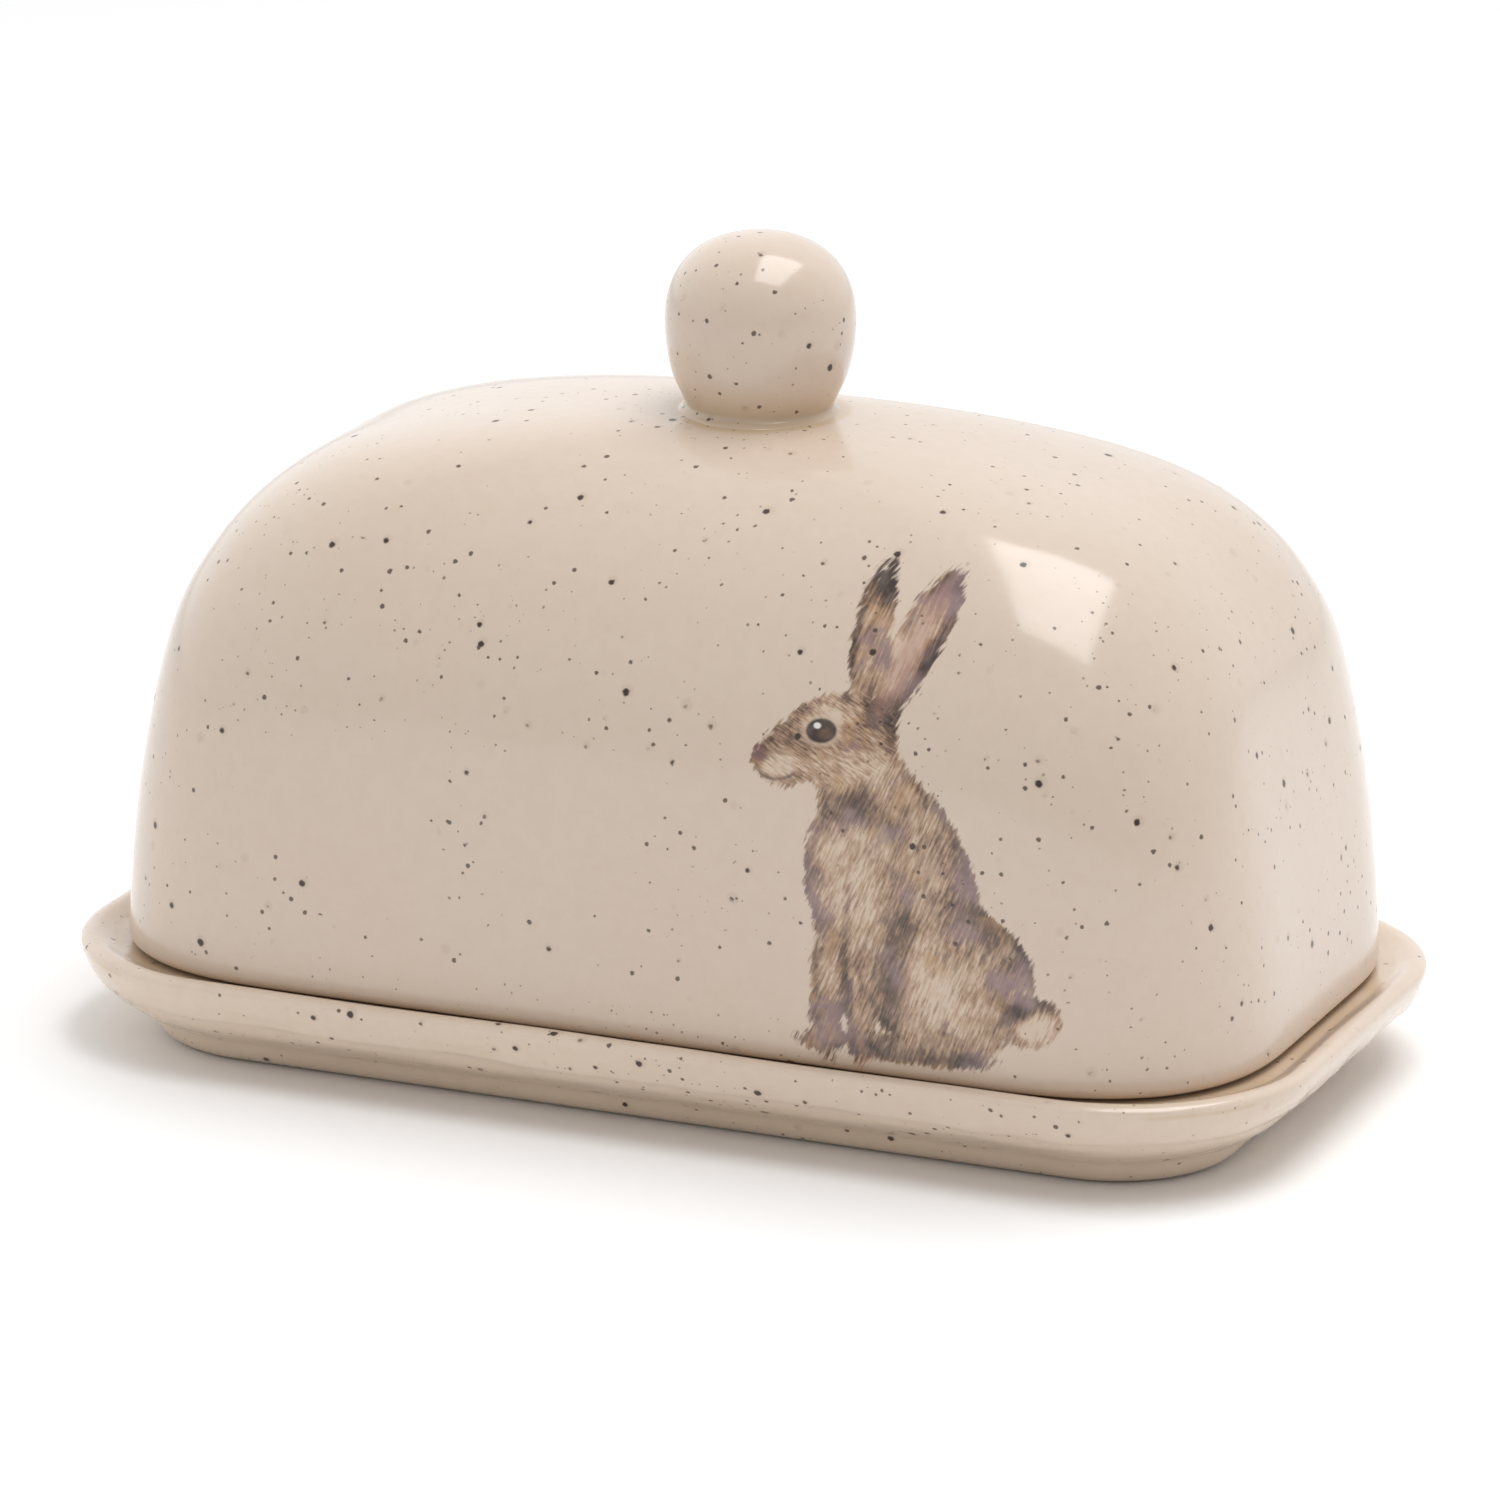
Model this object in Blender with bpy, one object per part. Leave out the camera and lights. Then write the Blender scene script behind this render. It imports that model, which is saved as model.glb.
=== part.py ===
"""Covered butter dish: a tray with a flared, rounded rim, a deep loaf-shaped lid and the lid's ball knob.

Metres, +Z up. The origin is on the table under the middle of the dish, +X runs along the dish and -Y is
its front. The lid stands on a seat inside the tray's rim and lifts straight off.
"""

import math

import bmesh
import bpy

# Tray. Insets are measured inwards from the rim's outer edge, heights from the table.
TRAY_LENGTH = 0.180
TRAY_WIDTH = 0.1012
TRAY_CORNER = 0.0287        # plan radius of the rim's outer edge
RIM_EDGE_HEIGHT = 0.0135    # the rim's widest line
RIM_RISE = 0.0011           # rounded top above the widest line
RIM_CREST = 0.0017          # inset of the rounded top's highest line
RIM_WIDTH = 0.0036          # inset where the rim turns into its inner slope
BAND_HEIGHT = 0.0046        # widest line down to the crease under the rim's outer band
BAND_LEAN = 0.0019          # inset of that crease
FOOT_EDGE = 0.0135          # inset of the foot's bottom edge
FOOT_ROUND = 0.0037         # rounding between the foot's bottom edge and the flared wall
FOOT_RING = 0.0050          # width of the flat ring that the tray stands on
FOOT_RECESS = 0.0012        # depth of the base inside that ring
FLOOR_THICKNESS = 0.0045    # clay between the recessed base and the well's floor
SEAT_HEIGHT = 0.0132        # the flat that the lid stands on
SEAT_WIDTH = 0.0072
INNER_RISE = 0.0007         # rise of the rim's inner slope above the seat, at RIM_WIDTH
INNER_RUN = 0.0016          # run of that slope from RIM_WIDTH to the seat
WELL_SLOPE = 0.0058         # run of the well's sloping side

# Lid. Heights are measured from its lip.
SEAT_GAP = 0.0003           # lip above the seat, and knob above the crown
LID_SIDE_GAP = 0.0004       # lip to the line at RIM_WIDTH, front and back
LID_END_GAP = 0.0024        # the same at the two ends
LID_HEIGHT = 0.0776         # lip to the top of the crown
LID_WALL = 0.0045
LID_CORNER = 0.0320         # plan radius of the lip's corners
LIP_ROUND = 0.0018
END_DRAFT = math.radians(9.4)
SIDE_DRAFT = math.radians(1.0)
END_SHOULDER = 0.0315       # radii of the arcs from the walls to the crown
SIDE_SHOULDER = 0.0400
END_CROWN = 0.231           # radii of the crown's long and short arcs
SIDE_CROWN = 0.225
WALL_SWELL = 0.0016         # how far the walls belly out at mid height
SWELL_SHARE = 0.72          # share of the height over which they do
CROWN_ROUNDNESS = 0.98      # corner radius over half width at the top of the crown
ROUNDING_POWER = 6.0        # how late the corners open out on the way up
CORNER_FULLNESS = 2.5       # exponent of a corner's curve: 2 is a circle

# Knob. Heights are measured from its flat underside.
KNOB_DIAMETER = 0.0262
KNOB_HEIGHT = 0.0240
KNOB_NECK = 0.0206          # diameter where it meets the crown
KNOB_BELLY = 0.0119         # height of its widest line
KNOB_FULLNESS = 2.3         # exponent of the curve from the widest line to the top

# Facets
CORNER_STEPS = 11
DOME_STEPS = 18
INNER_STEPS = 13
ROUND_STEPS = 4
KNOB_TURNS = 32
TOP_LEVEL = 0.9995          # share of the height where the crown is closed with one flat face
SHARP_ANGLE = math.radians(40)

TRAY_GLAZE = (0.62, 0.51, 0.42, 1.0)
LID_GLAZE = (0.68, 0.57, 0.48, 1.0)
KNOB_GLAZE = (0.66, 0.55, 0.46, 1.0)
GLAZE_ROUGHNESS = 0.18


def outline(half_x, half_y, corner, fullness=2.0):
    """Points of a rounded rectangle, counter-clockwise, the same number for every size."""
    reach_x = half_x - corner
    reach_y = half_y - corner
    points = []
    for quarter in range(4):
        sign_x = 1 if quarter in (0, 3) else -1
        sign_y = 1 if quarter in (0, 1) else -1
        for step in range(CORNER_STEPS + 1):
            turn = math.pi / 2 * step / CORNER_STEPS
            if quarter in (1, 3):
                turn = math.pi / 2 - turn
            along = corner * math.cos(turn) ** (2 / fullness)
            across = corner * math.sin(turn) ** (2 / fullness)
            points.append((sign_x * (reach_x + along), sign_y * (reach_y + across)))
    return points


def arc(centre, radius, start, end, steps=ROUND_STEPS):
    """Points along an elliptical arc, from start to end in degrees."""
    points = []
    for step in range(steps + 1):
        turn = math.radians(start + (end - start) * step / steps)
        points.append((centre[0] + radius[0] * math.cos(turn), centre[1] + radius[1] * math.sin(turn)))
    return points


def skin(rings):
    """A closed mesh through a row of rings, each a list of points and a height."""
    mesh = bmesh.new()
    points, height = rings[0]
    ring = [mesh.verts.new((x, y, height)) for x, y in points]
    edges = [mesh.edges.new((a, b)) for a, b in zip(ring, ring[1:] + ring[:1])]
    mesh.faces.new(ring)
    for points, height in rings[1:]:
        grown = bmesh.ops.extrude_edge_only(mesh, edges=edges)["geom"]
        fresh = {item for item in grown if isinstance(item, bmesh.types.BMVert)}
        edges = [item for item in grown if isinstance(item, bmesh.types.BMEdge) and fresh.issuperset(item.verts)]
        ring = [next(edge.other_vert(v) for edge in v.link_edges if edge.other_vert(v) in fresh) for v in ring]
        for vert, (x, y) in zip(ring, points):
            vert.co = (x, y, height)
    mesh.faces.new(ring)
    bmesh.ops.recalc_face_normals(mesh, faces=mesh.faces)
    return mesh


def add_object(name, mesh, colour, place=(0, 0, 0), parent=None):
    data = bpy.data.meshes.new(name)
    mesh.to_mesh(data)
    mesh.free()
    data.shade_smooth()
    data.set_sharp_from_angle(angle=SHARP_ANGLE)
    material = bpy.data.materials.new(name + "_glaze")
    material.use_nodes = True
    shader = material.node_tree.nodes["Principled BSDF"]
    shader.inputs["Base Color"].default_value = colour
    shader.inputs["Roughness"].default_value = GLAZE_ROUGHNESS
    shader.inputs["Metallic"].default_value = 0.0
    data.materials.append(material)
    piece = bpy.data.objects.new(name, data)
    piece.location = place
    piece.parent = parent
    bpy.context.scene.collection.objects.link(piece)
    return piece


def tray_section():
    """The tray's section as insets and heights, from the base outwards, over the rim and into the well."""
    seat_start = RIM_WIDTH + INNER_RUN
    seat_end = seat_start + SEAT_WIDTH
    floor_height = FOOT_RECESS + FLOOR_THICKNESS
    section = [
        (FOOT_EDGE + FOOT_RING + FOOT_RECESS, FOOT_RECESS),
        (FOOT_EDGE + FOOT_RING, 0.0),
    ]
    foot_centre = (FOOT_EDGE, FOOT_ROUND)
    section += arc(foot_centre, (FOOT_ROUND, FOOT_ROUND), 270, 180)
    section.append((BAND_LEAN, RIM_EDGE_HEIGHT - BAND_HEIGHT))
    section += arc((RIM_CREST, RIM_EDGE_HEIGHT), (RIM_CREST, RIM_RISE), 180, 60)
    section += [
        (RIM_WIDTH, SEAT_HEIGHT + INNER_RISE),
        (seat_start, SEAT_HEIGHT),
        (seat_end, SEAT_HEIGHT),
        (seat_end + WELL_SLOPE, floor_height),
    ]
    return section


def make_tray():
    rings = []
    for inset, height in tray_section():
        corner = max(TRAY_CORNER - inset, RIM_WIDTH)
        rings.append((outline(TRAY_LENGTH / 2 - inset, TRAY_WIDTH / 2 - inset, corner), height))
    return add_object("tray", skin(rings), TRAY_GLAZE)


def dome_reach(height, half, draft, shoulder, crown, inset):
    """Half the dome's length or width at a height above the lip: a drafted wall, a shoulder arc, a crown arc."""
    along = (-math.sin(draft), math.cos(draft))
    start = (half - shoulder * math.cos(draft), -shoulder * math.sin(draft))
    crown_centre = LID_HEIGHT - crown
    offset = (start[0], start[1] - crown_centre)
    middle = offset[0] * along[0] + offset[1] * along[1]
    outside = offset[0] ** 2 + offset[1] ** 2 - (crown - shoulder) ** 2
    run = math.sqrt(middle ** 2 - outside) - middle
    centre = (start[0] + run * along[0], start[1] + run * along[1])
    lean = math.atan2(centre[1] - crown_centre, centre[0])
    if height < centre[1] + (shoulder - inset) * math.sin(draft):
        reach = half - inset / math.cos(draft) - height * math.tan(draft)
    elif height < crown_centre + (crown - inset) * math.sin(lean):
        reach = centre[0] + math.sqrt((shoulder - inset) ** 2 - (height - centre[1]) ** 2)
    else:
        reach = math.sqrt((crown - inset) ** 2 - (height - crown_centre) ** 2)
    return reach + WALL_SWELL * math.sin(math.pi * min(height / (SWELL_SHARE * LID_HEIGHT), 1.0))


def lip_halves():
    """Half length and half width of the lid's lip, from the tray's rim and the gaps round the lid."""
    half_length = TRAY_LENGTH / 2 - RIM_WIDTH - LID_END_GAP
    half_width = TRAY_WIDTH / 2 - RIM_WIDTH - LID_SIDE_GAP
    return half_length, half_width


def dome_ring(height, inset=0.0):
    """The dome's outline at a height, on its outer face or inset from it by the wall."""
    half_length, half_width = lip_halves()
    reach_x = dome_reach(height, half_length, END_DRAFT, END_SHOULDER, END_CROWN, inset)
    reach_y = dome_reach(height, half_width, SIDE_DRAFT, SIDE_SHOULDER, SIDE_CROWN, inset)
    level = height / (LID_HEIGHT - inset)
    lip_roundness = min(LID_CORNER / half_width, CROWN_ROUNDNESS)
    roundness = lip_roundness + (CROWN_ROUNDNESS - lip_roundness) * level ** ROUNDING_POWER
    corner = roundness * min(reach_x, reach_y)
    return outline(reach_x, reach_y, corner, CORNER_FULLNESS), height


def make_lid_dome(lid):
    """The lid's shell, from the top of the crown down its outer face, round the lip and up its inner face."""
    rings = []
    for step in range(DOME_STEPS, 0, -1):
        level = min(math.sin(math.pi / 2 * step / DOME_STEPS), TOP_LEVEL)
        rings.append(dome_ring(LIP_ROUND + (LID_HEIGHT - LIP_ROUND) * level))
    for inset, height in arc((LIP_ROUND, LIP_ROUND), (LIP_ROUND, LIP_ROUND), 180, 270):
        rings.append((dome_ring(0.0, inset)[0], height))
    for inset, height in arc((LID_WALL - LIP_ROUND, LIP_ROUND), (LIP_ROUND, LIP_ROUND), 270, 360):
        rings.append((dome_ring(0.0, inset)[0], height))
    inner_height = LID_HEIGHT - LID_WALL
    for step in range(1, INNER_STEPS + 1):
        level = min(math.sin(math.pi / 2 * step / INNER_STEPS), TOP_LEVEL)
        rings.append(dome_ring(LIP_ROUND + (inner_height - LIP_ROUND) * level, LID_WALL))
    return add_object("lid_dome", skin(rings), LID_GLAZE, parent=lid)


def make_lid_knob(lid):
    """The ball knob: its profile from the top down to the neck, turned about the lid's middle."""
    radius = KNOB_DIAMETER / 2
    profile = []
    for step in range(2 * ROUND_STEPS + 1):
        turn = math.pi / 2 * (1 - step / (2 * ROUND_STEPS))
        reach = radius * math.cos(turn) ** (2 / KNOB_FULLNESS)
        rise = (KNOB_HEIGHT - KNOB_BELLY) * math.sin(turn) ** (2 / KNOB_FULLNESS)
        profile.append((reach, KNOB_BELLY + rise))
    profile[0] = (0.0, KNOB_HEIGHT)
    taper = radius - KNOB_NECK / 2
    bend = (KNOB_BELLY ** 2 + taper ** 2) / (2 * taper)
    for step in range(1, ROUND_STEPS + 1):
        drop = KNOB_BELLY * step / ROUND_STEPS
        profile.append((radius - bend + math.sqrt(bend ** 2 - drop ** 2), KNOB_BELLY - drop))
    profile.append((0.0, 0.0))

    mesh = bmesh.new()
    verts = [mesh.verts.new((reach, 0.0, height)) for reach, height in profile]
    edges = [mesh.edges.new(pair) for pair in zip(verts, verts[1:])]
    bmesh.ops.spin(
        mesh, geom=verts + edges, cent=(0, 0, 0), axis=(0, 0, 1), angle=2 * math.pi, steps=KNOB_TURNS
    )
    bmesh.ops.remove_doubles(mesh, verts=mesh.verts, dist=1e-6)
    bmesh.ops.recalc_face_normals(mesh, faces=mesh.faces)
    return add_object("lid_knob", mesh, KNOB_GLAZE, place=(0, 0, LID_HEIGHT + SEAT_GAP), parent=lid)


def main():
    for leftover in list(bpy.data.objects):
        bpy.data.objects.remove(leftover)
    make_tray()
    lid = bpy.data.objects.new("lid", None)
    lid.location = (0, 0, SEAT_HEIGHT + SEAT_GAP)
    bpy.context.scene.collection.objects.link(lid)
    make_lid_dome(lid)
    make_lid_knob(lid)


main()
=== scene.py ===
"""Covered butter dish in cream speckled stoneware: its tray, its lid, the lid's knob and a plain studio.

Metres, +Z up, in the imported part's own frame: +X runs along the dish and -Y is its front. Each ring of the
tray and of the lid is pulled from the one before it, on one quarter of the form that is mirrored at the end.
"""

import math
from collections import namedtuple

import bmesh
import bpy
from mathutils import Matrix, Vector


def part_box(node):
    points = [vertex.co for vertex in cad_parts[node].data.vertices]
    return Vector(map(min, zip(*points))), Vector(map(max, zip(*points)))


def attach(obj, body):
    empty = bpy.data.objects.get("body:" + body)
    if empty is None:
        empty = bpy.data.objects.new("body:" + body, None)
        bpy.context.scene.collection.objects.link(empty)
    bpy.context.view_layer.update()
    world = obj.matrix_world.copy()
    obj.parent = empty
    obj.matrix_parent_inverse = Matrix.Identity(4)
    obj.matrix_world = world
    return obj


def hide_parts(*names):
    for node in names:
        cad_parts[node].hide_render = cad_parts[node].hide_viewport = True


bl_info = {
    "name": "Speckled butter dish",
    "version": (1, 0, 0),
    "blender": (4, 5, 0),
    "location": "3D View > Sidebar > Butter dish",
    "description": "Shapes and glazes a covered butter dish around its packed part",
    "category": "Object",
}

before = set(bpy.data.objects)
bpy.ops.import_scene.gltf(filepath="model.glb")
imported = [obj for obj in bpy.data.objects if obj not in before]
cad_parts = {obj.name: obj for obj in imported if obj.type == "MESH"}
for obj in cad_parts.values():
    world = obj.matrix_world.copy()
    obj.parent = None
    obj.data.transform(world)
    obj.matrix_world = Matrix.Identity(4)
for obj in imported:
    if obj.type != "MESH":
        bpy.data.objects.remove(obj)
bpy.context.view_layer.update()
TRAY_LOW, TRAY_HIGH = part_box("tray")
DOME_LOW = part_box("lid_dome")[0]
KNOB_LOW, KNOB_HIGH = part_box("lid_knob")

MM = 0.001
TINY = 1e-6

# how finely the forms are pulled, before they are smoothed
CORNER_CUTS = 16        # round a quarter's corner
LONG_CUTS = 8           # along a quarter's long side
SHORT_CUTS = 3          # along its short side
DOME_RINGS = 28         # down the dome's outer face
INNER_RINGS = 10        # up its inner face
ARC_STEPS = 4           # along a rounded edge
CREST_STEPS = 7         # over the tray's rim
KNOB_TURNS = 48         # round the knob
KNOB_RINGS = 16         # from its widest line to its top
CROWN_CLOSE = 0.9995    # share of the height where the crown is closed flat

# the glaze: a speck's cell and radius in millimetres, the share that is there, what crowding adds to it
Speck = namedtuple("Speck", "grain radius part crowding")
BIG_SPECK = Speck(4.2, 0.48, 0.26, 0.66)
SMALL_SPECK = Speck(2.2, 0.32, 0.22, 0.64)
DUST_SPECK = Speck(1.3, 0.17, 0.12, 0.45)
SPECK_HALO = Speck(4.2, 0.85, 0.26, 0.66)
COAT = 0.35
MOTTLE = (0.50, 0.36, 0.25, 1.0)
HALO = (0.36, 0.23, 0.14, 1.0)
DARK_CLAY = (0.50, 0.39, 0.28, 1.0)

# the hare's small touches of colour
RUSSET = (0.47, 0.27, 0.12, 1.0)
EAR_PINK = (0.44, 0.25, 0.20, 1.0)
EYELID = (0.58, 0.44, 0.33, 1.0)
PUPIL = (0.020, 0.010, 0.008, 1.0)
IRIS = (0.16, 0.07, 0.03, 1.0)
GLINT = (0.80, 0.76, 0.72, 1.0)
NOSE = (0.17, 0.08, 0.08, 1.0)
MOUTH = (0.10, 0.05, 0.04, 1.0)

# the studio, in metres and watts
FLOOR_SIDE = 8.0
SOFTBOX_PLACE = (0.26, 0.06, 1.15)
SOFTBOX_AIM = (0, 0, 0.06)
SOFTBOX_SIDES = (1.05, 0.60)
SOFTBOX_POWER = 7.5

Ring = namedtuple("Ring", "half_x half_y corner height")


def size(name, description, default):
    """A length that a user may change."""
    return bpy.props.FloatProperty(
        name=name, description=description, default=default, min=0.0, precision=5, unit="LENGTH"
    )


def angle(name, description, default):
    """An angle, given in degrees."""
    return bpy.props.FloatProperty(
        name=name, description=description, default=math.radians(default), subtype="ANGLE", unit="ROTATION"
    )


def share(name, description, default, high=1.0):
    """A plain number from 0 up to high."""
    return bpy.props.FloatProperty(name=name, description=description, default=default, min=0.0, max=high)


def colour(name, description, default):
    """A colour with its alpha."""
    return bpy.props.FloatVectorProperty(
        name=name, description=description, default=default, size=4, min=0.0, max=1.0, subtype="COLOR"
    )


class TraySizes(bpy.types.PropertyGroup):
    length: size("Length", "Across the rim, along the dish", TRAY_HIGH.x - TRAY_LOW.x)
    width: size("Width", "Across the rim, front to back", TRAY_HIGH.y - TRAY_LOW.y)
    corner: size("Corner", "Plan radius of the rim's outer edge", 0.0287)
    rim_edge: size("Rim edge", "Height of the rim's widest line", 0.0135)
    rim_rise: size("Rim rise", "Rounded top above the widest line", TRAY_HIGH.z - 0.0135)
    rim_crest: size("Rim crest", "Inset of the rounded top's highest line", 0.0017)
    rim_width: size("Rim width", "Inset where the rim turns into its inner slope", 0.0036)
    band: size("Band", "Widest line down to the crease under the rim", 0.0046)
    band_lean: size("Band lean", "Inset of that crease", 0.0019)
    foot_edge: size("Foot edge", "Inset of the foot's bottom edge", 0.0135)
    foot_round: size("Foot rounding", "Rounding between the foot and the flared wall", 0.0037)
    foot_ring: size("Foot ring", "Width of the ring that the tray stands on", 0.0050)
    foot_recess: size("Foot recess", "Depth of the base inside that ring", 0.0012)
    floor: size("Floor", "Clay under the well", 0.0045)
    seat: size("Seat height", "The flat that the lid stands on", 0.0132)
    seat_width: size("Seat width", "From the rim's inner slope to the well", 0.0072)
    inner_rise: size("Inner rise", "Rise of the rim's inner slope above the seat", 0.0007)
    inner_run: size("Inner run", "Run of that slope to the seat", 0.0016)
    well_slope: size("Well slope", "Run of the well's sloping side", 0.0058)
    wobble: size("Hand wobble", "How far the rim and foot wander", 0.00055)


class LidSizes(bpy.types.PropertyGroup):
    lip: size("Lip height", "Height of the lip above the table", DOME_LOW.z)
    height: size("Height", "Lip to the top of the crown", 0.0776)
    half_length: size("Half length", "At the lip", 0.0840)
    half_width: size("Half width", "At the lip", 0.0466)
    wall: size("Wall", "Thickness of the clay", 0.0045)
    corner: size("Corner", "Plan radius of the lip's corners", 0.0320)
    lip_round: size("Lip rounding", "Radius of the lip's two edges", 0.0018)
    end_draft: angle("End draft", "Lean of the two end walls", 9.4)
    side_draft: angle("Side draft", "Lean of the front and back walls", 1.0)
    end_shoulder: size("End shoulder", "Arc between the end walls and the crown", 0.0315)
    side_shoulder: size("Side shoulder", "Arc between the side walls and the crown", 0.0400)
    end_crown: size("End crown", "Radius of the crown's long arc", 0.231)
    side_crown: size("Side crown", "Radius of the crown's short arc", 0.225)
    swell: size("Swell", "How far the walls belly out", 0.0016)
    swell_share: share("Swell share", "Share of the height over which they do", 0.72)
    roundness: share("Crown roundness", "Corner radius over half width at the top", 0.98)
    rounding: share("Rounding power", "How late the corners open out", 6.0, 12.0)
    fullness: share("Corner fullness", "Exponent of the corners' curve", 2.5, 8.0)
    wobble: size("Hand wobble", "How far the faces wander", 0.0006)


class KnobSizes(bpy.types.PropertyGroup):
    diameter: size("Diameter", "Across the ball", KNOB_HIGH.x - KNOB_LOW.x)
    top: size("Top", "Height of the top above the table", KNOB_HIGH.z)
    foot: size("Foot", "Height of the crown that it is luted to", 0.0911)
    neck: size("Neck", "Diameter above the fillet", 0.0202)
    belly: size("Belly", "Height of the widest line above the crown", 0.0122)
    fullness: share("Fullness", "Exponent of the curve over the top", 2.3, 8.0)
    fillet: size("Fillet", "Slip and glaze smoothed round the foot", 0.0007)


class GlazeLook(bpy.types.PropertyGroup):
    cream: colour("Cream", "Colour of the glaze", (0.668, 0.548, 0.447, 1.0))
    # painted light: the tray's cream is made paler than the lid's to stand in for the light its upturned rim
    # catches
    lit_tray_cream: colour("Tray cream", "The tray's glaze, a little paler", (0.735, 0.603, 0.488, 1.0))
    # ochre: pooled glaze round the knob's foot, and painted warm shade and bounce light at the lid's lip, the
    # tray's seat and its foot
    ochre: colour("Ochre", "Where the glaze runs thin or pools", (0.58, 0.41, 0.22, 1.0))
    rose: colour("Rose", "Slow warm drift of the glaze", (0.673, 0.540, 0.440, 1.0))
    iron: colour("Iron", "Specks that burn through the glaze", (0.045, 0.026, 0.018, 1.0))
    biscuit: colour("Biscuit", "Bare clay of the foot ring and lip", (0.66, 0.54, 0.40, 1.0))
    roughness: share("Roughness", "Of the glaze", 0.16)


class HareLook(bpy.types.PropertyGroup):
    middle: bpy.props.FloatProperty(
        name="Middle", description="Place along the front face", default=0.0385, precision=5, unit="LENGTH"
    )
    ground: size("Ground", "Height of the ground it sits on, above the lip", 0.0028)
    height: size("Height", "From the ground to the tips of the ears", 0.0700)
    cream: colour("Cream", "Belly and cheek", (0.66, 0.52, 0.40, 1.0))
    tan: colour("Tan", "Thin wash", (0.42, 0.27, 0.17, 1.0))
    umber: colour("Umber", "Full wash", (0.15, 0.085, 0.055, 1.0))
    sepia: colour("Sepia", "Darkest strokes", (0.022, 0.012, 0.010, 1.0))
    mauve: colour("Mauve", "Cool shadow wash", (0.29, 0.19, 0.20, 1.0))


class StudioLook(bpy.types.PropertyGroup):
    azimuth: angle("Azimuth", "Camera round the dish, from its front", 22.07)
    elevation: angle("Elevation", "Camera above the table", 16.48)
    roll: angle("Roll", "Camera about its own axis", 0.687)
    distance: size("Distance", "Camera to its aim", 1.2677)
    aim_x: bpy.props.FloatProperty(
        name="Aim X", description="Aim along the dish", default=-0.00081, precision=5, unit="LENGTH"
    )
    aim_z: size("Aim Z", "Height of the aim", 0.04194)
    lens: bpy.props.FloatProperty(name="Lens", description="Focal length", default=219.8, unit="CAMERA")
    paper: colour("Paper", "Floor under the dish", (0.98, 0.98, 0.98, 1.0))


# ---------------------------------------------------------------- shaping


def clear_selection():
    """Leaves edit mode with nothing selected."""
    if bpy.context.mode != "OBJECT":
        bpy.ops.object.mode_set(mode="OBJECT")
    bpy.ops.object.select_all(action="DESELECT")


def pick(wanted):
    """In edit mode, selects the points that pass a test on the point, and nothing else."""
    mesh = bmesh.from_edit_mesh(bpy.context.edit_object.data)
    for vert in mesh.verts:
        vert.select_set(wanted(vert))
    mesh.select_flush(False)
    mesh.select_flush(True)
    bmesh.update_edit_mesh(bpy.context.edit_object.data)


def picked():
    """The numbers of the points that are selected in edit mode."""
    mesh = bmesh.from_edit_mesh(bpy.context.edit_object.data)
    mesh.verts.index_update()
    return {vert.index for vert in mesh.verts if vert.select}


def start_quarter(name, ring, fullness):
    """A flat quarter of a plate with a rounded corner, its outer edge selected in edit mode."""
    clear_selection()
    bpy.ops.mesh.primitive_plane_add(size=1.0, location=(ring.half_x / 2, ring.half_y / 2, ring.height))
    plate = bpy.context.object
    plate.name = plate.data.name = name
    plate.scale = (ring.half_x, ring.half_y, 1.0)
    bpy.ops.object.transform_apply(location=True, rotation=True, scale=True)
    bpy.ops.object.mode_set(mode="EDIT")
    bpy.ops.mesh.select_mode(type="VERT")
    straight_x = ring.half_x - ring.corner
    straight_y = ring.half_y - ring.corner
    pick(lambda v: v.co.x > straight_x + TINY and v.co.y > straight_y + TINY)
    bpy.ops.mesh.bevel(
        affect="VERTICES", offset=ring.corner, segments=CORNER_CUTS, profile=2.0 ** (-2.0 / fullness)
    )
    pick(lambda v: v.co.y > ring.half_y - TINY and v.co.x < straight_x + TINY)
    bpy.ops.mesh.subdivide(number_cuts=LONG_CUTS)
    pick(lambda v: v.co.x > ring.half_x - TINY and v.co.y < straight_y + TINY)
    bpy.ops.mesh.subdivide(number_cuts=SHORT_CUTS)
    pick(lambda v: v.co.xy.length > TINY)
    return plate


def pull_ring(old, new):
    """Extrudes the open edge to the next ring: up or down, in or out, then its corner opened or closed."""
    bpy.ops.mesh.extrude_edges_move(TRANSFORM_OT_translate={"value": (0, 0, new.height - old.height)})
    ring = picked()
    middle = (0, 0, new.height)
    stretch_x = new.half_x / old.half_x
    stretch_y = new.half_y / old.half_y
    bpy.ops.transform.resize(value=(stretch_x, stretch_y, 1), center_override=middle)
    straight_x = (old.half_x - old.corner) * stretch_x
    straight_y = (old.half_y - old.corner) * stretch_y
    slack = TINY * 0.2
    corner = (new.corner / (old.corner * stretch_x), new.corner / (old.corner * stretch_y), 1)
    mesh = bmesh.from_edit_mesh(bpy.context.edit_object.data)
    mesh.verts.ensure_lookup_table()
    places = {index: mesh.verts[index].co.copy() for index in ring}
    side = {i for i, co in places.items() if co.x < straight_x - slack}
    end = {i for i, co in places.items() if co.y < straight_y - slack}
    pick(lambda v: v.index in ring and v.index not in side and v.index not in end)
    bpy.ops.transform.resize(value=corner, center_override=(new.half_x, new.half_y, new.height))
    pick(lambda v: v.index in side)
    bpy.ops.transform.resize(value=((new.half_x - new.corner) / straight_x, 1, 1), center_override=middle)
    pick(lambda v: v.index in end)
    bpy.ops.transform.resize(value=(1, (new.half_y - new.corner) / straight_y, 1), center_override=middle)
    pick(lambda v: v.index in ring)


def finish_modifier(piece, kind, **settings):
    """Adds a modifier to a piece and applies it."""
    added = piece.modifiers.new(kind.title(), kind)
    for name, value in settings.items():
        setattr(added, name, value)
    bpy.context.view_layer.objects.active = piece
    bpy.ops.object.modifier_apply(modifier=added.name)


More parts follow.
